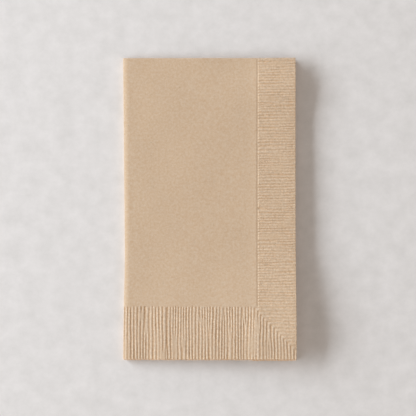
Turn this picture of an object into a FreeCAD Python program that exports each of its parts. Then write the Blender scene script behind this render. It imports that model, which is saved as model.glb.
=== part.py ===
"""Folded paper guest towel, one sheet of three bonded plies.

The sheet is doubled end to end, which makes a hairpin fold along the +Y end, and the doubled sheet
is then folded in three across its width, like a letter: a tucked panel in the middle, a bottom
panel, and a top panel whose free edge lies at +X. The folds therefore run round a clockwise spiral
in the XZ plane, seen from the front. A coin-edge border of ribs at right angles to the edge runs
along the sheet's ends and along the top panel's free side, and the two meet in a mitre. The ribs
are pressed through the outer layer, so each crest has a hollow behind it.

Frame: +X to the free side, +Y to the hairpin fold, +Z up. The origin is the centre of the
footprint, on the surface that the towel lies on. Millimetres.
"""

import FreeCAD
import Part

import math
import os

from FreeCAD import Placement, Rotation, Vector

# Overall size of the folded towel.
FOLDED_WIDTH = 112.0
FOLDED_LENGTH = 196.5

# The sheet, and the air that its loft keeps between layers.
SHEET = 0.40
LEG_CLEARANCE = 0.06  # under a hollow, to the inner half of the doubled sheet
PANEL_GAP = 0.30

# How the panels lie.
FOLD_INSET = 1.4  # the inner fold stands back from the top panel's free edge
TUCK_CLEARANCE = 1.8  # the tucked free edge stands off the inside of the outer fold
FREE_EDGE_LIFT = 2.5  # the top panel springs up by this at its free edge
SHOULDER_R = 11.5  # the outer fold eases into the top panel through a bend of this radius
SHOULDER_TURN = math.radians(17)
END_STAGGER = 0.7  # the inner half of the doubled sheet is longer by this at the cut end

# The coin-edge border.
END_BAND = 34.2
SIDE_BAND = 24.9
RIB_PITCH = 2.05
RIB_HEIGHT = 0.26  # crest to hollow, with the crests level with the plain field
RIB_FLANK = 0.45  # the run of a rib's sloping side
LINE_WIDTH = 0.9  # the pressed line between the side band and the plain field
LINE_DEPTH = 0.12
CREASES = 4  # flats round the hairpin fold

# Worked out from the sizes above.
LEG_IN = (RIB_HEIGHT + LEG_CLEARANCE) / 2  # a leg's two faces, from the doubled sheet's middle
LEG_OUT = LEG_IN + SHEET
PANEL_RISE = 2 * LEG_OUT + PANEL_GAP  # from one panel's middle to the next
SPLIT = LEG_CLEARANCE / 2 - LEG_IN  # an offset in the air between the two legs, under a hollow
OVER = LEG_OUT + RIB_HEIGHT  # an offset clear of the outer face
REACH = 5.0  # how far a cutting tool runs past what it cuts

# Round the inner fold, a rib's flat is straight chords. The longest of them, along the middle line,
# still leaves a hollow clear of the inner leg.
INNER_FOLD_R = PANEL_RISE / 2
HOLLOW_R = INNER_FOLD_R + LEG_IN - RIB_HEIGHT
LONGEST_CHORD = 2 * math.acos(1 - 0.85 * LEG_CLEARANCE / HOLLOW_R) * INNER_FOLD_R

END_Y = -FOLDED_LENGTH / 2
OUTER_END_Y = END_Y + END_STAGGER
HAIRPIN_Y = FOLDED_LENGTH / 2 - LEG_OUT
BAND_Y = OUTER_END_Y + END_BAND

Y_AXIS = Vector(0, 1, 0)


class Stretch:
    """A straight run, or a clockwise turn about +Y, of the doubled sheet's middle line."""

    def __init__(self, start, heading, length, radius=None):
        self.start = start
        self.heading = heading
        self.length = length
        self.radius = radius

    def normal(self, heading):
        """The outward side: the left of the way that the line runs."""
        return Rotation(Y_AXIS, -90).multVec(heading)

    def centre(self):
        return self.start - self.normal(self.heading) * self.radius

    def turn_deg(self, along):
        return math.degrees(along / self.radius)

    def point(self, along, offset):
        """The point that far along the line, and that far out from it."""
        if self.radius is None:
            return self.start + self.heading * along + self.normal(self.heading) * offset
        arm = self.normal(self.heading) * (self.radius + offset)
        return self.centre() + Rotation(Y_AXIS, self.turn_deg(along)).multVec(arm)

    def heading_at_end(self):
        if self.radius is None:
            return self.heading
        return Rotation(Y_AXIS, self.turn_deg(self.length)).multVec(self.heading)

    def section_plane(self):
        """Places a section drawn in X (offset) and Y (length) at the start of the stretch."""
        side = self.normal(self.heading)
        return Placement(self.start, Rotation(side, Y_AXIS, side.cross(Y_AXIS), "XYZ"))

    def sweep(self, section):
        """The solid that a section makes when it runs along the stretch."""
        face = section.copy()
        face.Placement = self.section_plane()
        if self.radius is None:
            return face.extrude(self.heading * self.length)
        return face.revolve(self.centre(), Y_AXIS, self.turn_deg(self.length))


def fold_line():
    """The doubled sheet's middle line, from the tucked free edge to the free edge on top.

    Its stretches are the tucked panel, the inner fold, the bottom panel, the outer fold, the
    shoulder that eases it into the top panel, the plain field there, and the field's side band.
    """
    lift = math.asin(FREE_EDGE_LIFT / FOLDED_WIDTH)
    fold_turn = math.pi - lift - SHOULDER_TURN
    shoulder_rise = SHOULDER_R * (math.cos(fold_turn) - math.cos(fold_turn + SHOULDER_TURN))
    outer_fold_r = (2 * PANEL_RISE - shoulder_rise) / (1 - math.cos(fold_turn))
    left = -FOLDED_WIDTH / 2 + LEG_OUT + outer_fold_r
    right = FOLDED_WIDTH / 2 - FOLD_INSET - LEG_OUT - INNER_FOLD_R
    tucked_edge = left - outer_fold_r + LEG_OUT + TUCK_CLEARANCE

    tucked = Stretch(Vector(tucked_edge, 0, PANEL_RISE), Vector(1, 0, 0), right - tucked_edge)
    inner_fold = follow(tucked, math.pi * INNER_FOLD_R, INNER_FOLD_R)
    bottom = follow(inner_fold, right - left)
    outer_fold = follow(bottom, fold_turn * outer_fold_r, outer_fold_r)
    shoulder = follow(outer_fold, SHOULDER_TURN * SHOULDER_R, SHOULDER_R)
    top_left = shoulder.point(shoulder.length, 0).x
    top_run = (FOLDED_WIDTH / 2 - top_left) / math.cos(lift)
    field = follow(shoulder, top_run - SIDE_BAND)
    band = follow(field, SIDE_BAND)
    return [tucked, inner_fold, bottom, outer_fold, shoulder, field, band]


def follow(before, length, radius=None):
    """The stretch that runs on from the end of another."""
    return Stretch(before.point(before.length, 0), before.heading_at_end(), length, radius)


def lines(points):
    return [Part.LineSegment(a, b).toShape() for a, b in zip(points, points[1:])]


def face_of(edges):
    return Part.Face(Part.Wire(edges))


def rib_edges(place, first, last, origin):
    """A ribbed outline from first to last along a line: a flat crest, a flank, a flat hollow, a flank.

    place(along, rise) gives the point that far along, raised by rise. The flank up to a crest has
    its middle at origin.
    """
    half = RIB_PITCH / 2
    flat = half - RIB_FLANK
    chords = math.ceil(flat / LONGEST_CHORD)
    points = [place(first, 0)]
    for n in range(math.ceil((first - origin) / half), math.floor((last - origin) / half)):
        rise = 0 if n % 2 == 0 else -RIB_HEIGHT
        begin = origin + n * half + RIB_FLANK / 2
        points += [place(begin + flat * k / chords, rise) for k in range(chords + 1)]
    return lines(points + [place(last, 0)])


def creases(radius):
    """The hairpin fold's face, from one leg's to the other's: narrow flats round a half circle."""
    turns = [math.pi * n / CREASES for n in range(CREASES + 1)]
    return lines(
        [Vector(radius * math.cos(t), HAIRPIN_Y + radius * math.sin(t), 0) for t in turns]
    )


def hairpin_section(outer_leg_end, ribbed=False):
    """The doubled sheet cut across its fold. X is the offset from its middle, and Y its length."""

    def at(offset, y):
        return Vector(offset, y, 0)

    def outer_leg_side(offset):
        if not ribbed:
            return lines([at(offset, outer_leg_end), at(offset, HAIRPIN_Y)])
        top_crest = BAND_Y - RIB_PITCH / 2
        return rib_edges(lambda y, rise: at(offset + rise, y), outer_leg_end, HAIRPIN_Y, top_crest)

    edges = outer_leg_side(LEG_OUT) + creases(LEG_OUT)
    edges += lines(
        [
            at(-LEG_OUT, HAIRPIN_Y),
            at(-LEG_OUT, END_Y),
            at(-LEG_IN, END_Y),
            at(-LEG_IN, HAIRPIN_Y),
        ]
    )
    edges += creases(LEG_IN)
    edges += outer_leg_side(LEG_IN)
    edges += lines([at(LEG_IN, outer_leg_end), at(LEG_OUT, outer_leg_end)])
    return face_of(Part.__sortEdges__(edges))


def end_band(line):
    """The ribbed strip at the cut end of the outer leg, along a run of stretches."""
    starts = [sum(s.length for s in line[:n]) for n in range(len(line))]
    corner = starts[-1]
    total = corner + line[-1].length

    def place(offset):
        def at(along, rise):
            stretch, start = [(s, t) for s, t in zip(line, starts) if t <= max(along, 0)][-1]
            point = stretch.point(along - start, offset + rise)
            return Vector(point.x, OUTER_END_Y, point.z)

        return at

    outside, inside = place(LEG_OUT), place(LEG_IN)
    edges = rib_edges(outside, 0, total, corner) + rib_edges(inside, 0, total, corner)
    edges += lines([outside(0, 0), inside(0, 0)])
    edges += lines([outside(total, 0), inside(total, 0)])
    return face_of(Part.__sortEdges__(edges)).extrude(Vector(0, END_BAND, 0))


def prism(outline, stretch, low=SPLIT, high=OVER):
    """A tool on a stretch: an outline in (along, y), from one offset from the middle to another."""
    points = [stretch.point(along, low) + Vector(0, y, 0) for along, y in outline]
    rise = stretch.normal(stretch.heading) * (high - low)
    return face_of(lines(points + points[:1])).extrude(rise)


def mitred(ribs_along_end, ribs_along_side, corner):
    """Cuts the two bands to each other at 45 degrees, so that each rib turns the corner as an L."""
    far = SIDE_BAND + REACH
    mitre = [(0, BAND_Y), (far, BAND_Y - far)]
    below = OUTER_END_Y - REACH
    side_part = mitre + [(far, below), (0, below)]
    end_part = mitre + [(far, BAND_Y + REACH), (0, BAND_Y + REACH)]
    return (
        ribs_along_end.cut(prism(end_part, corner)),
        ribs_along_side.cut(prism(side_part, corner)),
    )


def pressed_line_tool(field):
    """A V groove in the plain field, along the side band."""
    middle = field.length - LINE_WIDTH / 2
    ends = [(middle - LINE_WIDTH / 2, LEG_OUT), (middle + LINE_WIDTH / 2, LEG_OUT)]
    points = [field.point(along, offset) for along, offset in ends]
    points.append(field.point(middle, LEG_OUT - LINE_DEPTH))
    groove = face_of(lines(points + points[:1]))
    groove.translate(Vector(0, BAND_Y, 0))
    return groove.extrude(Vector(0, HAIRPIN_Y - BAND_Y, 0))


def guest_towel():
    line = fold_line()
    field, band = line[-2:]
    plain = hairpin_section(BAND_Y)
    folded = [stretch.sweep(plain) for stretch in line[:-1]]
    side = band.sweep(hairpin_section(OUTER_END_Y, ribbed=True))
    end, side = mitred(end_band(line), side, band)
    towel = folded[0].fuse(folded[1:] + [side, end])
    towel = towel.cut(pressed_line_tool(field)).removeSplitter()
    return on_its_footprint(towel)


def on_its_footprint(shape):
    """Puts the origin at the centre of the footprint, on the surface below."""
    box = shape.optimalBoundingBox(False)
    shape.translate(-Vector(box.Center.x, box.Center.y, box.ZMin))
    return shape


def main():
    os.makedirs("parts", exist_ok=True)
    towel = guest_towel()
    solid = towel.Solids[0] if len(towel.Solids) == 1 else towel
    print("solids", len(towel.Solids), "valid", solid.isValid(), "faces", len(solid.Faces))
    print("volume", round(solid.Volume, 1), "box", solid.optimalBoundingBox(False))
    solid.exportStep("parts/guest_towel.step")


main()
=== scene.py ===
"""The looks of a folded paper guest towel, lying on a pale floor in soft light from its left.

The towel is one sheet, so it is one closed mesh. It is laid out flat first: u runs across the
sheet, along the line that it is folded round, and w runs up its outer half, over the hairpin fold
and down its inner half. Each point then gets its ribs and its place in the folded stack. Lengths
are in millimetres until the mesh is made.
"""

import math

import bpy
import numpy as np
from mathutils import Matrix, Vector
from mathutils.geometry import delaunay_2d_cdt


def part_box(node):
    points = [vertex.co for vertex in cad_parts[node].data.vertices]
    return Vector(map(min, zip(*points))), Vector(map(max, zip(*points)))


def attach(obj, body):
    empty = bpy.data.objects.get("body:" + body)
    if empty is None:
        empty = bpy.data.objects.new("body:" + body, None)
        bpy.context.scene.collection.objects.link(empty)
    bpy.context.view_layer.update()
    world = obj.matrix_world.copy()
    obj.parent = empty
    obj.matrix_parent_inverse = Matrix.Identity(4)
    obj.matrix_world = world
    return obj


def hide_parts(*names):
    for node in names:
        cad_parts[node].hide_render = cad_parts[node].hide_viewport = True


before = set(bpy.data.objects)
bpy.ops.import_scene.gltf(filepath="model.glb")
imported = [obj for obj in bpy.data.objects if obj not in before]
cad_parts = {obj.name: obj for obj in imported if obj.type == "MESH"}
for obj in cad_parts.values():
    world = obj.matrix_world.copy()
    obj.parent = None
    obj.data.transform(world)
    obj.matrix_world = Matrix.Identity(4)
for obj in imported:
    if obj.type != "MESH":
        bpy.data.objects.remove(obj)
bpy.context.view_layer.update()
MM = 0.001
low, high = (np.array(corner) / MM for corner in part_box("guest_towel"))
WIDTH, LENGTH = high[0] - low[0], high[1] - low[1]
rng = np.random.default_rng(7)

# The sheet and how it lies, as in the CAD solid.
SHEET = 0.40
LEG_OUT = 0.56  # the sheet's outer face, from the doubled sheet's middle
PANEL_RISE = 1.42  # from one panel's middle to the next
FOLD_INSET = 1.4  # the inner fold stands back from the top panel's free edge
TUCK_CLEARANCE = 1.8  # the tucked free edge stands off the inside of the outer fold
FREE_EDGE_LIFT = 2.5
SHOULDER_R, SHOULDER_TURN = 11.5, math.radians(17)  # the bend from the outer fold to the top panel
END_STAGGER = 0.7  # the inner half is longer by this at the cut end
END_BAND, SIDE_BAND = 34.2, 24.9
RIB_PITCH, RIB_HEIGHT = 2.05, 0.26

# What only the looks have.
CORNER_RIB_PITCH = 2.265  # the side band's ribs are a little further apart in the corner,
UPPER_RIB_PITCH = 1.86  # and closer together above it
MITRE_BEND = 0.9  # half the width over which a rib turns the corner
MITRE_DROP = 1.7  # the mitre starts below the field's corner by about this
SIDE_RISE = 0.20  # how far the side band stands above the plain field
LIP_RISE, LINE_DEPTH = 0.12, 0.05  # of the raised lip and the pressed line beside the side band
STEP = 0.33  # between points across the ribs
ROW_STEP = 0.27  # between rows of points along the side band's free edge
RIM = 0.14  # from a cut edge to the nearest points inside it
OFF_OUTLINE = 0.12  # points closer than this to the sheet's outline are left out
LAYER_SKEW = 0.05  # how far the lower panels swing out below the top one, at the right
CORNER_JOG = 0.65  # and how much further under the corner
CORNER_CURL = 4.6  # how far the top panel's open corner rises above the rest of its free edge

# The light and the view, in metres.
WORLD_STRENGTH = 0.40
WORLD_SLANT = (0.8, -0.38, 0)  # the surround is brighter towards +X and dimmer towards +Y
WORLD_COLOUR, KEY_COLOUR = (1.12, 1.017, 0.925), (0.882, 0.957, 1.026)
KEY_ENERGY = 195.0
KEY_PLACE = (-2.76, 0.60, 0.95)
KEY_SIZE = (3.65, 1.05)
FLOOR_HALF, FLOOR_DROP = 4.0, 0.00003
CAMERA_HEIGHT, SEEN_WIDTH = 1.6, 0.2715
SEEN_CENTRE = (-0.00125, 0.00065)
SENSOR_MM = 36


def smooth(t):
    """0 below 0, 1 above 1, and an S between."""
    t = np.clip(t, 0, 1)
    return t * t * (3 - 2 * t)


def ripples(x, y, across, along, count=14):
    """Smooth seeded noise of about unit size, with those wavelengths across x and along y."""
    total = np.zeros(np.broadcast(x, y).shape)
    for _ in range(count):
        turn, phase = rng.uniform(0, 2 * math.pi, 2)
        stretch = rng.uniform(0.7, 1.5)
        total += np.cos(
            2 * math.pi * stretch * (x * math.cos(turn) / across + y * math.sin(turn) / along) + phase
        )
    return total / math.sqrt(count / 2)


def waves(along, humps):
    """The sum of smooth humps, each given by its height, middle and reach."""
    return sum(height * np.exp(-(((along - middle) / reach) ** 2)) for height, middle, reach in humps)


class FoldLine:
    """The doubled sheet's middle line in the XZ plane: straight runs and clockwise turns."""

    def __init__(self):
        lift = math.asin(FREE_EDGE_LIFT / WIDTH)
        turn = math.pi - lift - SHOULDER_TURN
        shoulder_rise = SHOULDER_R * (math.cos(turn) - math.cos(turn + SHOULDER_TURN))
        outer_r = (2 * PANEL_RISE - shoulder_rise) / (1 - math.cos(turn))
        inner_r = PANEL_RISE / 2
        self.outer_r = outer_r
        self.above_half = turn - math.pi / 2  # what the outer fold turns above its outermost point
        left = -WIDTH / 2 + LEG_OUT + outer_r
        right = WIDTH / 2 - FOLD_INSET - LEG_OUT - inner_r
        tucked_edge = left - outer_r + LEG_OUT + TUCK_CLEARANCE
        self.runs = []  # start x, start z, heading, distance at the start, curvature
        self.end = (tucked_edge, LEG_OUT + PANEL_RISE, 0.0, 0.0)
        self.tucked_end = self.add(right - tucked_edge)
        self.bottom_start = self.add(math.pi * inner_r, 1 / inner_r)
        self.bottom_end = self.add(right - left)
        self.shoulder_start = self.add(turn * outer_r, 1 / outer_r)
        self.top_start = self.add(SHOULDER_TURN * SHOULDER_R, 1 / SHOULDER_R)
        self.length = self.add((WIDTH / 2 - self.end[0]) / math.cos(lift))

    def add(self, length, curvature=0.0):
        """Adds a stretch, and gives the distance at which it ends."""
        x, z, heading, start = self.end
        self.runs.append((x, z, heading, start, curvature))
        x, z, heading = self.along(length, *self.runs[-1][:3], curvature)
        self.end = (float(x), float(z), float(heading), start + length)
        return start + length

    @staticmethod
    def along(length, x, z, heading, curvature):
        turned = heading - length * curvature
        bent = np.where(curvature > 0, curvature, 1.0)
        arc_x = (np.sin(heading) - np.sin(turned)) / bent
        arc_z = (np.cos(turned) - np.cos(heading)) / bent
        return (
            x + np.where(curvature > 0, arc_x, np.cos(heading) * length),
            z + np.where(curvature > 0, arc_z, np.sin(heading) * length),
            turned,
        )

    def at(self, u):
        """x, z and heading at each distance u."""
        runs = np.array(self.runs)
        which = np.clip(np.searchsorted(runs[:, 3], u, side="right") - 1, 0, len(runs) - 1)
        x, z, heading, start, curvature = runs[which].T
        return self.along(u - start, x, z, heading, curvature)


fold = FoldLine()
U = fold.length
CORNER_U = U - SIDE_BAND  # where the plain field meets the side band
CUT_END = -LENGTH / 2
HAIRPIN_Y = LENGTH / 2 - LEG_OUT
LEG = HAIRPIN_Y - CUT_END - END_STAGGER  # the outer half, cut end to hairpin
TIP = math.pi * LEG_OUT
W = 2 * LEG + END_STAGGER + TIP

# How the top panel waves: height, middle, reach. Along its free edge, by the distance up from the
# towel's middle, and across its end band, by the distance from the left fold.
EDGE_WAVES = ((1.5, 81, 11.5), (-0.5, 48, 16), (0.25, -6, 9), (-1.3, 101, 9))
BAND_WAVES = (
    (-0.22, 15, 4),
    (0.22, 25.5, 4),
    (0.12, 57, 4),
    (-0.12, 67, 4),
    (-0.22, 78, 4),
    (0.22, 88, 4),
)

# Where ribs of the top panel fork or end: distance from the left fold, distance from the cut end,
# and +1 where one more rib starts below that point or -1 where one ends there.
FORKS = (
    (14.0, 18.5, -1),
    (26.6, 5.5, -1),
    (31.6, 14.8, 1),
    (37.2, 8.5, 1),
    (47.6, 26.8, -1),
    (48.0, 24.4, 1),
    (54.2, 19.5, 1),
    (63.5, 28.0, -1),
    (68.0, 16.0, 1),
    (76.4, 26.0, -1),
    (78.0, 22.5, 1),
    (84.6, 25.5, -1),
    (86.0, 18.0, 1),
    (93.0, 12.0, -1),
)
# Where they fade into a plain patch: the same two distances, then its half width and half length.
FADES = (
    (31.7, 7.5, 1.3, 8.0),
    (24.2, 2.0, 2.0, 3.5),
    (37.3, 11.0, 1.2, 3.5),
    (50.8, 23.6, 1.2, 3.0),
    (82.4, 8.0, 1.9, 8.0),
    (85.5, 21.5, 1.4, 4.0),
    (11.0, 28.0, 1.6, 3.5),
)


def swirl(du, de):
    """The slip in a set of ribs around a fork, in turns, with its cut running down along a rib."""
    return np.arctan2(du, 1.1 * np.tanh(0.3 * de)) / (2 * math.pi)


class Ribs:
    """The coin-edge border of the sheet's outer half, from u and the distance e off its cut end."""

    def __init__(self):
        left = fold.top_start - SHOULDER_R * SHOULDER_TURN
        self.end_forks = [(left + x, e, sign) for x, e, sign in FORKS]
        for start, end in ((0, fold.tucked_end), (fold.bottom_start, fold.bottom_end)):
            for sign in (-1, 1) * 5:
                self.end_forks.append((rng.uniform(start, end), rng.uniform(4, 30), sign))
        self.side_forks = [
            (CORNER_U + rng.uniform(4, 22), rng.uniform(END_BAND + 8, LEG - 8), sign)
            for sign in (-1, 1) * 9
        ]
        self.fades = [(left + x, e, half_w, half_l) for x, e, half_w, half_l in FADES]

    def shape(self, u, e):
        """The surface's height above the plain field, then three values for its colour.

        They are how ribbed it is, how much painted shade it takes on the shaded side of a hollow and
        in the pressed line, and if its ribs are the side band's. A rib of the end band has an even
        distance across from the corner line, and one of the side band an even distance up from it.
        The lesser of the two gives the rib, so each turns the corner as an L.
        """
        across = u - CORNER_U
        across = across + 0.16 * ripples(u, e, 14, 60) + 0.04 * ripples(u, e, 4, 9)
        across = across * (1 + 0.035 * smooth(across) * smooth((e - 4) / 12))
        up = END_BAND - e
        up = up * RIB_PITCH / np.where(up > 0, CORNER_RIB_PITCH, UPPER_RIB_PITCH) - MITRE_DROP
        up = up + 0.14 * ripples(u, e, 60, 14) + 0.04 * ripples(u, e, 9, 4)
        near_fork = np.zeros_like(u)
        for fork_u, fork_e, sign in self.end_forks:
            across = across + sign * RIB_PITCH * swirl(u - fork_u, e - fork_e)
            away = (u - fork_u) ** 2 + (0.5 * (e - fork_e)) ** 2
            near_fork = np.maximum(near_fork, np.exp(-away / 0.5))
        for fork_u, fork_e, sign in self.side_forks:
            up = up + sign * RIB_PITCH * swirl(e - fork_e, u - fork_u)
            away = (e - fork_e) ** 2 + (0.5 * (u - fork_u)) ** 2
            near_fork = np.maximum(near_fork, np.exp(-away / 0.5))
        bend = np.maximum(MITRE_BEND - np.abs(across - up), 0)
        turns = (np.minimum(across, up) - bend**2 / (4 * MITRE_BEND)) / RIB_PITCH
        along_side = smooth((across - up) / MITRE_BEND + 0.5)
        crest = (0.5 + 0.5 * np.cos(2 * math.pi * turns)) ** (0.95 - 0.3 * along_side)
        # The painted shade's peak sits on the side of each hollow that faces away from the light on
        # the left.
        shaded = 0.5 - 0.5 * np.cos(2 * math.pi * (turns + 0.13))

        # The ribs are pressed unevenly, most firmly at the side and least in the corner.
        strength = 0.90 + 0.13 * ripples(u, e, 6, 30) * (e < END_BAND)
        strength = strength + 0.22 * ripples(u, e, 26, 9) * (e >= END_BAND)
        for fade_u, fade_e, half_w, half_l in self.fades:
            away = ((u - fade_u) / half_w) ** 2 + ((e - fade_e) / half_l) ** 2
            strength = strength * (1 - 0.85 * np.exp(-away * away))
        strength = np.clip(strength, 0.05, 1.15) * (1 - near_fork) * (1 + 0.35 * along_side)
        in_corner = smooth((u - CORNER_U) / 5) * (e < END_BAND)
        strength = strength * (1 - 0.15 * in_corner)

        # They stop raggedly at the plain field, and fade at the free edge.
        ragged = 0.28 * ripples(u, e, 2.6, 40)
        in_end = smooth((END_BAND + 0.2 + ragged - e) / 0.9)
        in_side = smooth((u - CORNER_U) / 0.6)
        margin = smooth((u - U + 1.6) / 0.6) * smooth((e - END_BAND + 28) / 10)
        strength = strength * np.maximum(in_end, in_side) * (1 - 0.5 * margin)
        level = -RIB_HEIGHT * (1 - crest) * strength
        level = level + SIDE_RISE * in_side * smooth((e - END_BAND + 4) / 6)
        level = level - 0.12 * smooth((u - U + 2.4) / 2.4)

        above = smooth((e - END_BAND) / 0.6)
        line = np.clip(1 - np.abs(u - CORNER_U + 0.4) / 0.5, 0, 1) * above
        lip = smooth((u - CORNER_U + 4.5) / 3.5) * smooth((CORNER_U - u) / 0.6) * above
        level = level - LINE_DEPTH * line + LIP_RISE * lip
        # Painted shade: a deeper brown on the shaded side of each hollow and in the pressed line,
        # where shade falls.
        depth = np.maximum(shaded * strength * (1 - 0.6 * along_side), 0.36 * line)
        return level, np.clip(strength, 0, 1), depth, along_side * in_side


ribs = Ribs()


def place(u, w, t):
    """Where a point of the flat sheet comes to lie, with t from 0 on its outer face to 1 inside.

    Gives the point, then four values for its colour: how ribbed it is, how much painted shade it
    takes in a hollow, if it is in the side band, and how near it is to a cut end, where light is
    painted.
    """
    outer, inner = w <= LEG, w >= LEG + TIP
    off_end = np.where(w < LEG, w, W - w)
    off_edge = np.minimum(off_end, U - u)
    level, ribbed, depth, beside = ribs.shape(u, np.where(outer, w, np.where(inner, W - w, LEG)))
    pressed = np.where(outer & (t < 0.5), 1.0, smooth(2 - off_edge / 1.5))
    level = level * pressed * np.where(inner, 0.45, 1.0)
    level = level * smooth((LEG + 0.5 * TIP - w) / TIP + inner)

    x, z, heading = fold.at(u)
    half_round = math.pi * np.clip((w - LEG) / TIP, 0, 1)
    radius = LEG_OUT - t * SHEET + np.where(inner, -level, level)
    offset = radius * np.cos(half_round)
    y = HAIRPIN_Y + radius * np.sin(half_round)
    y = y + np.where(outer, w - LEG, 0) - np.where(inner, w - LEG - TIP, 0)
    x, z = x - np.sin(heading) * offset, z + np.cos(heading) * offset

    # The lower panels lie a little askew, and the cut ends are not quite straight.
    left = -WIDTH / 2
    lower = 1 - smooth((u - fold.bottom_end) / (fold.top_start - fold.bottom_end))
    askew = LAYER_SKEW * (x - left) / WIDTH + CORNER_JOG * smooth((x - 25) / 4)
    ragged = 0.05 * ripples(u, w, 3, 400) + 0.05 * ripples(u, w, 14, 400)
    y = y - lower * askew + ragged * np.exp(-off_end / 2)

    # The top panel is a little uneven, and its open corner curls up.
    on_top = smooth((u - fold.top_start) / 12)
    free = np.clip((u - fold.top_start) / (U - fold.top_start), 0, 1)
    z = z + CORNER_CURL * free**1.3 * (smooth((-y - 12) / 70) - 0.33 * smooth((-y - 82) / 16))
    in_band = on_top * smooth((END_BAND + 1 - off_end) / 4)
    z = z + free**3 * waves(y, EDGE_WAVES) + in_band * waves(x - left, BAND_WAVES)
    z = z + 0.07 * on_top * ripples(x, y, 45, 60)

    # The outer fold is pressed square above its outermost point, so its top corner is tight.
    turned = np.clip(fold.above_half - (fold.shoulder_start - u) / fold.outer_r, 0, fold.above_half)
    rounded = (fold.outer_r + LEG_OUT) * (1 - np.cos(turned))
    x = x - rounded * (1 - smooth((u - fold.shoulder_start) / 30))

    # It is waisted, and fullest at its two ends. The free edge leans, and the inner half of the
    # doubled sheet stands back from the outer half there.
    along = y / (LENGTH / 2)
    rise = along + 0.27
    flare = 0.45 * (rise + np.sqrt(rise**2 + 0.02)) + 1.05 * smooth(-rise / 0.62) - 0.62
    x = x - flare * np.exp(-(x - left) / 14)
    x = x + (0.55 * smooth(-along / 0.95) - 0.36) * smooth((x - 29) / 26)
    y = y + 0.2 * smooth((x - 25) / 30) * smooth(along)
    x = x - 0.15 * smooth((w - LEG) / TIP) * smooth((u - U + 3) / 3)
    # Near a cut end the colour takes painted light: fully on the inner half, whose end shows below
    # the outer half's, and a little on the outer half.
    at_end = smooth(1 - off_end / 1.3) * np.where(inner, 1.0, 0.22)
    return np.stack([x, y, z], -1), ribbed, depth * pressed, beside * pressed, at_end


def spread(start, stop, step):
    """Even steps from start to stop, both included."""
    return np.linspace(start, stop, max(2, round((stop - start) / step) + 1))


class Patchwork:
    """Points over the flat sheet, fine where there is detail and coarse elsewhere."""

    def __init__(self):
        self.blocks = []
        self.covered = []

    def add(self, us, ws):
        """Points at each of us with each of ws, less those that an earlier block covers."""
        u, w = (grid.ravel() for grid in np.meshgrid(us, ws))
        keep = np.minimum(np.minimum(u, U - u), np.minimum(w, W - w)) > OFF_OUTLINE
        for u0, u1, w0, w1 in self.covered:
            keep &= (u < u0) | (u > u1) | (w < w0) | (w > w1)
        self.blocks.append(np.stack([u, w], -1)[keep])
        pad = 0.1
        self.covered.append((min(us) - pad, max(us) + pad, min(ws) - pad, max(ws) + pad))

    def points(self):
        return np.concatenate(self.blocks)


FINE_U = spread(0, U, STEP)
TIP_W = LEG + TIP * np.linspace(0, 1, 8)
OUTER_W = spread(0, LEG, ROW_STEP)
INNER_W = spread(LEG + TIP, W, ROW_STEP)
NEAR_CUT = np.array([RIM, 0.9, 2.6])
FOLDS_U = (
    spread(fold.bottom_end - 1, fold.top_start + 3, STEP),
    spread(fold.tucked_end - 1, fold.bottom_start + 1, ROW_STEP),
)


def face_points(outer_face):
    """Points inside the sheet's outline, for its outer face or its inner one."""
    patches = Patchwork()
    seen_from = fold.tucked_end - 2 if outer_face else U
    if outer_face:
        to_line = spread(2.2, END_BAND - 1.4, 2.0)
        at_line = spread(END_BAND - 1.1, END_BAND + 1.5, STEP)
        rows = np.concatenate([[RIM, 0.45, 1.1], to_line, at_line])
        columns = FINE_U[(FINE_U > seen_from) & (FINE_U < CORNER_U - 0.5)]
        patches.add(columns, rows)
        patches.add(
            np.append(spread(CORNER_U - 0.4, U - 0.42, 0.32), U - RIM),
            np.append(RIM, spread(0.42, END_BAND + 1.5, 0.32)),
        )
        line = CORNER_U + np.array([-2.6, -1.4, -0.9, -0.65, -0.4, -0.15, 0.1, 0.3, 0.5, 0.75, 1.2])
        edge = U - np.array([2.1, 1.7, 1.3, 0.7, RIM])
        columns = np.concatenate([line, spread(CORNER_U + 2.6, U - 3, 1.7), edge])
        patches.add(columns, spread(END_BAND + 1.8, LEG - ROW_STEP, ROW_STEP))
        tight = spread(fold.shoulder_start - 1.5, fold.shoulder_start + 1.2, 0.12)
        patches.add(tight, spread(3.6, LEG - 1, 2.6))
    patches.add(FINE_U[FINE_U < seen_from], NEAR_CUT)
    patches.add(FINE_U, W - NEAR_CUT)
    patches.add(U - NEAR_CUT, INNER_W)
    if not outer_face:
        patches.add(U - NEAR_CUT, OUTER_W)
    for us in FOLDS_U:
        patches.add(us, spread(3.6, LEG - 1, 2.6))
        patches.add(us, TIP_W)
        patches.add(us, spread(LEG + TIP + 1, W - 3.6, 5))
    patches.add(spread(1, U - 1, 1.6), TIP_W)
    patches.add(spread(fold.top_start + 3.5, CORNER_U - 3, 2.6), spread(END_BAND + 2, LEG - 1, 2.6))
    patches.add(spread(3, U - 3, 7), spread(3, W - 3, 7))
    return patches.points()


def outline():
    """The sheet's outline, once round from its corner, and the way out of it at each point."""
    back = [spread(0, LEG, 3), TIP_W, spread(LEG + TIP, W, 3)]
    sides = [
        [(u, 0) for u in FINE_U[:-1]],
        [(U, w) for w in np.concatenate([OUTER_W[:-1], TIP_W[:-1], INNER_W[:-1]])],
        [(u, W) for u in FINE_U[:0:-1]],
        [(0, w) for w in np.concatenate([back[0][:-1], back[1][:-1], back[2]])[:0:-1]],
    ]
    ways = [(0, -1), (1, 0), (0, 1), (-1, 0)]
    points = np.array([p for side in sides for p in side], float)
    out = np.array([way for side, way in zip(sides, ways) for _ in side], float)
    corner = 0
    for side, before in zip(sides, [ways[-1], *ways[:-1]]):
        out[corner] += before
        corner += len(side)
    return points, out


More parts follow.
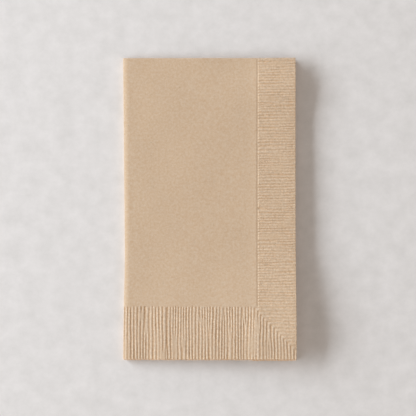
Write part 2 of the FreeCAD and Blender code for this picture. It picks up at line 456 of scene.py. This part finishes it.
def towel_mesh():
    """One closed surface: the sheet's outer face, its inner face, and the rim between them."""
    border, out = outline()
    us, ws, ts, faces = [], [], [], []
    count = 0
    rims = []
    for outer_face in (True, False):
        flat = np.concatenate([border, face_points(outer_face)])
        made, _, triangles, origin, _, _ = delaunay_2d_cdt(
            [Vector(p) for p in flat / 10], [], [], 0, 1e-7
        )
        made = np.array(made) * 10
        triangles = np.array(triangles)
        if not outer_face:
            triangles = triangles[:, ::-1]
        place_of = {first: n for n, group in enumerate(origin) for first in group}
        rims.append(np.array([place_of[n] for n in range(len(border))]) + count)
        faces.append(triangles + count)
        us.append(made[:, 0])
        ws.append(made[:, 1])
        ts.append(np.full(len(made), 0.0 if outer_face else 1.0))
        count += len(made)
    rows = [rims[0]]
    for depth, bulge in ((0.3, 0.05), (0.7, 0.05)):
        us.append(border[:, 0] + out[:, 0] * bulge)
        ws.append(border[:, 1] + out[:, 1] * bulge)
        ts.append(np.full(len(border), depth))
        rows.append(np.arange(len(border)) + count)
        count += len(border)
    rows.append(rims[1])
    for near, far in zip(rows, rows[1:]):
        near_next, far_next = np.roll(near, -1), np.roll(far, -1)
        faces.append(np.stack([near_next, near, far], -1))
        faces.append(np.stack([near_next, far, far_next], -1))
    u, w, t = np.concatenate(us), np.concatenate(ws), np.concatenate(ts)
    return place(u, w, t), t, np.concatenate(faces)


def add_mesh(name, points, triangles, values):
    """A mesh object in metres, with a number on each point for each name in values."""
    mesh = bpy.data.meshes.new(name)
    mesh.from_pydata((points * MM).tolist(), [], triangles.tolist())
    for key, numbers in values.items():
        mesh.attributes.new(key, "FLOAT", "POINT").data.foreach_set("value", numbers)
    mesh.shade_smooth()
    mesh.update()
    made = bpy.data.objects.new(name, mesh)
    bpy.context.scene.collection.objects.link(made)
    return made


(points, ribbed, depth, beside, at_end), through, triangles = towel_mesh()
towel = add_mesh(
    "towel_sheet",
    points,
    triangles,
    {
        "ribbed": ribbed,
        "depth": depth,
        "beside": beside,
        "at_end": at_end,
        "through": through,
    },
)
print("towel triangles", len(triangles))


def node(tree, kind, inputs=(), **settings):
    """A shader node, with its settings and the values or links of its inputs."""
    made = tree.nodes.new(kind)
    for key, value in settings.items():
        setattr(made, key, value)
    for key, value in dict(inputs).items():
        if isinstance(value, bpy.types.NodeSocket):
            tree.links.new(value, made.inputs[key])
        else:
            made.inputs[key].default_value = value
    return made


def number(tree, name):
    """A number that the mesh carries on its points."""
    return node(tree, "ShaderNodeAttribute", attribute_name=name).outputs["Fac"]


def noise(tree, where, scale, detail=2.0, roughness=0.5):
    """Noise with scale waves a metre, from about 0 to 1."""
    made = node(
        tree,
        "ShaderNodeTexNoise",
        {"Vector": where, "Scale": scale, "Detail": detail, "Roughness": roughness},
    )
    return made.outputs["Fac"]


def ramp(tree, value, low_in, high_in, low_out, high_out):
    """A value carried from one range to another, and held at its ends."""
    inputs = {0: value, 1: low_in, 2: high_in, 3: low_out, 4: high_out}
    return node(tree, "ShaderNodeMapRange", inputs).outputs["Result"]


def maths(tree, operation, first, second):
    """One sum of two values."""
    return node(tree, "ShaderNodeMath", {0: first, 1: second}, operation=operation).outputs[0]


def product(tree, *factors):
    """All the factors multiplied together."""
    total = factors[0]
    for factor in factors[1:]:
        total = maths(tree, "MULTIPLY", total, factor)
    return total


def mixed(tree, amount, first, second):
    """One colour carried to another as the amount goes from 0 to 1."""
    made = node(
        tree, "ShaderNodeMix", {0: amount, 6: (*first, 1), 7: (*second, 1)}, data_type="RGBA"
    )
    return made.outputs[2]


def new_material(name):
    """A material with only its output and a Principled shader."""
    material = bpy.data.materials.new(name)
    material.use_nodes = True
    tree = material.node_tree
    tree.nodes.clear()
    shader = tree.nodes.new("ShaderNodeBsdfPrincipled")
    output = tree.nodes.new("ShaderNodeOutputMaterial")
    tree.links.new(shader.outputs["BSDF"], output.inputs["Surface"])
    return material, tree, shader


def stretched(tree, where, x, y, z):
    """The same place with its axes scaled, to draw a noise out along one of them."""
    made = node(tree, "ShaderNodeVectorMath", {0: where, 1: (x, y, z)}, operation="MULTIPLY")
    return made.outputs[0]


def multiplied(tree, colour, *factors):
    """A colour multiplied by each of the factors in turn, which are colours or plain values."""
    for factor in factors:
        made = node(tree, "ShaderNodeVectorMath", {0: colour, 1: factor}, operation="MULTIPLY")
        colour = made.outputs[0]
    return colour


def where_chosen(tree, chosen, value):
    """The value where chosen is 1, and 1 where it is 0."""
    return maths(tree, "ADD", product(tree, value, chosen), maths(tree, "SUBTRACT", 1.0, chosen))


def dark_flecks(tree, where):
    """Small dark specks of bark, each in a cell of its own, in about one cell of five."""
    cells = node(tree, "ShaderNodeTexVoronoi", {"Vector": where, "Scale": 210}).outputs
    draw = node(tree, "ShaderNodeSeparateColor", {0: cells["Color"]}).outputs[0]
    fleck = ramp(tree, cells["Distance"], 0.05, 0.10, 0.80, 1.0)
    return where_chosen(tree, maths(tree, "GREATER_THAN", draw, 0.82), fleck)


def ply_lines(tree):
    """Thin darker lines between the three plies, on a cut edge only."""
    through = number(tree, "through")
    off_line = maths(tree, "PINGPONG", through, 1 / 6)
    on_edge = maths(tree, "GREATER_THAN", maths(tree, "PINGPONG", through, 0.5), 0.02)
    return where_chosen(tree, on_edge, ramp(tree, off_line, 0.0, 0.03, 0.80, 1.0))


def kraft_tissue():
    """Unbleached three-ply tissue: soft, matt and light brown, with fibres and a few dark flecks."""
    material, tree, shader = new_material("kraft_tissue")
    where = node(tree, "ShaderNodeTexCoord").outputs["Object"]
    ribbed_here = number(tree, "ribbed")

    # Pulp clouds, a fine speckle, beads on the ribs, and fibres lying this way and that.
    clouds = ramp(tree, noise(tree, where, 130, 4), 0.3, 0.7, 0.99, 1.01)
    speckle = ramp(tree, noise(tree, where, 680, 3, 0.75), 0.25, 0.75, 0.0, 1.0)
    speckle = mixed(tree, speckle, (0.925, 0.855, 0.785), (1.075, 1.145, 1.215))
    beads = ramp(tree, noise(tree, where, 820, 1.5), 0.3, 0.7, -0.11, 0.11)
    beads = maths(tree, "ADD", 1.0, product(tree, beads, ribbed_here))
    along = noise(tree, stretched(tree, where, 1, 0.16, 1), 1500, 2, 0.6)
    across = noise(tree, stretched(tree, where, 0.16, 1, 1), 1500, 2, 0.6)
    fibres = maths(tree, "ADD", along, across)
    pale_fibres = ramp(tree, fibres, 1.12, 1.42, 1.0, 1.06)
    dark_fibres = ramp(tree, fibres, 0.62, 0.84, 0.88, 1.0)

    # A cut end is painted lighter: partly its paler fluff, and partly painted light for the light
    # that comes through the tissue there.
    cut_end_fluff_and_light = ramp(tree, number(tree, "at_end"), 0.0, 1.0, 1.0, 1.36)
    shade = product(
        tree,
        clouds,
        beads,
        pale_fibres,
        dark_fibres,
        dark_flecks(tree, where),
        cut_end_fluff_and_light,
        ply_lines(tree),
    )

    # Painted light and shade on the ribs: a painted highlight makes the ribbed band paler and cooler,
    # the side band is painted a little lighter and warmer, and a painted shade gives the shaded side
    # of each hollow a deeper brown.
    warmth = ramp(tree, noise(tree, where, 140, 2), 0.3, 0.7, 0.0, 1.0)
    base = mixed(tree, warmth, (0.599, 0.441, 0.304), (0.595, 0.435, 0.295))
    # Painted highlight: the whole ribbed band is tinted paler and cooler, for the pale light on its
    # lit crests.
    crest = mixed(tree, ribbed_here, (1, 1, 1), (0.99, 1.04, 1.12))
    # Painted light: the side band is tinted a little lighter and warmer, to make up for the shade its
    # ribs cast.
    painted_side_light = mixed(tree, number(tree, "beside"), (1, 1, 1), (1.04, 1.01, 0.965))
    # Painted shade: a deeper brown where the mesh's depth value marks a hollow's shaded side or the
    # pressed line.
    painted_shade_amount = ramp(tree, number(tree, "depth"), 0.1, 0.9, 0.0, 1.0)
    hollow = mixed(tree, painted_shade_amount, (1, 1, 1), (0.995, 0.865, 0.715))
    colour = multiplied(tree, base, crest, painted_side_light, hollow, speckle, shade)
    tree.links.new(colour, shader.inputs["Base Color"])
    roughness = ramp(tree, noise(tree, where, 1200, 2), 0.3, 0.7, 0.84, 0.97)
    tree.links.new(roughness, shader.inputs["Roughness"])
    shader.inputs["Specular IOR Level"].default_value = 0.2
    shader.inputs["Sheen Weight"].default_value = 0.06
    shader.inputs["Sheen Roughness"].default_value = 0.5

    # The plain field is felted, and the bands are also beaded, where the rolls bit the plies.
    felt = product(tree, noise(tree, where, 1400, 3, 0.6), 0.6)
    felt = maths(tree, "ADD", felt, product(tree, fibres, 0.35))
    grains = product(tree, noise(tree, where, 1100, 1, 0.4), ribbed_here, 2.4)
    height = maths(tree, "ADD", felt, grains)
    bump = node(
        tree, "ShaderNodeBump", {"Strength": 0.5, "Distance": 0.00012, "Height": height}
    )
    tree.links.new(bump.outputs["Normal"], shader.inputs["Normal"])
    return material


def floor_material():
    """Pale studio paper, very faintly mottled."""
    material, tree, shader = new_material("studio_floor")
    where = node(tree, "ShaderNodeTexCoord").outputs["Object"]
    mottle = ramp(tree, noise(tree, where, 90, 5, 0.65), 0.2, 0.8, 0.0, 1.0)
    colour = mixed(tree, mottle, (0.820, 0.787, 0.774), (0.683, 0.657, 0.638))
    tree.links.new(colour, shader.inputs["Base Color"])
    grain = ramp(tree, noise(tree, where, 700, 2), 0.3, 0.7, 0.85, 0.95)
    tree.links.new(grain, shader.inputs["Roughness"])
    shader.inputs["Specular IOR Level"].default_value = 0.15
    return material


def add_floor():
    """A big flat sheet just below the towel."""
    mesh = bpy.data.meshes.new("studio_floor")
    corners = [(x * FLOOR_HALF, y * FLOOR_HALF, 0) for x, y in ((-1, -1), (1, -1), (1, 1), (-1, 1))]
    mesh.from_pydata(corners, [], [(0, 1, 2, 3)])
    floor = bpy.data.objects.new("studio_floor", mesh)
    floor.location.z = -FLOOR_DROP
    bpy.context.scene.collection.objects.link(floor)
    mesh.materials.append(floor_material())


def add_light():
    """A pale surround, brighter on the right and near sides, and a long low softbox on the left."""
    world = bpy.data.worlds.new("studio")
    bpy.context.scene.world = world
    world.use_nodes = True
    tree = world.node_tree
    surround = tree.nodes["Background"].inputs
    surround["Color"].default_value = (*WORLD_COLOUR, 1)
    way = node(tree, "ShaderNodeTexCoord").outputs["Generated"]
    slant = node(tree, "ShaderNodeVectorMath", {0: way, 1: WORLD_SLANT}, operation="DOT_PRODUCT")
    strength = product(tree, maths(tree, "ADD", slant.outputs["Value"], 1.0), WORLD_STRENGTH)
    tree.links.new(strength, surround["Strength"])
    lamp = bpy.data.lights.new("left_softbox", "AREA")
    lamp.shape = "RECTANGLE"
    lamp.size, lamp.size_y = KEY_SIZE
    lamp.energy = KEY_ENERGY
    lamp.color = KEY_COLOUR
    key = bpy.data.objects.new("left_softbox", lamp)
    key.location = KEY_PLACE
    key.rotation_euler = (-key.location).to_track_quat("-Z", "Y").to_euler()
    bpy.context.scene.collection.objects.link(key)


def add_camera():
    """Straight down from well above, so that the towel shows no perspective."""
    data = bpy.data.cameras.new("camera")
    data.sensor_width = SENSOR_MM
    data.lens = SENSOR_MM * CAMERA_HEIGHT / SEEN_WIDTH
    data.clip_end = 20
    camera = bpy.data.objects.new("camera", data)
    camera.location = (*SEEN_CENTRE, CAMERA_HEIGHT)
    bpy.context.scene.collection.objects.link(camera)
    bpy.context.scene.camera = camera


towel.data.materials.append(kraft_tissue())
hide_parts("guest_towel")
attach(towel, "root")
add_floor()
add_light()
add_camera()

view = bpy.context.scene.view_settings
view.view_transform = "Standard"
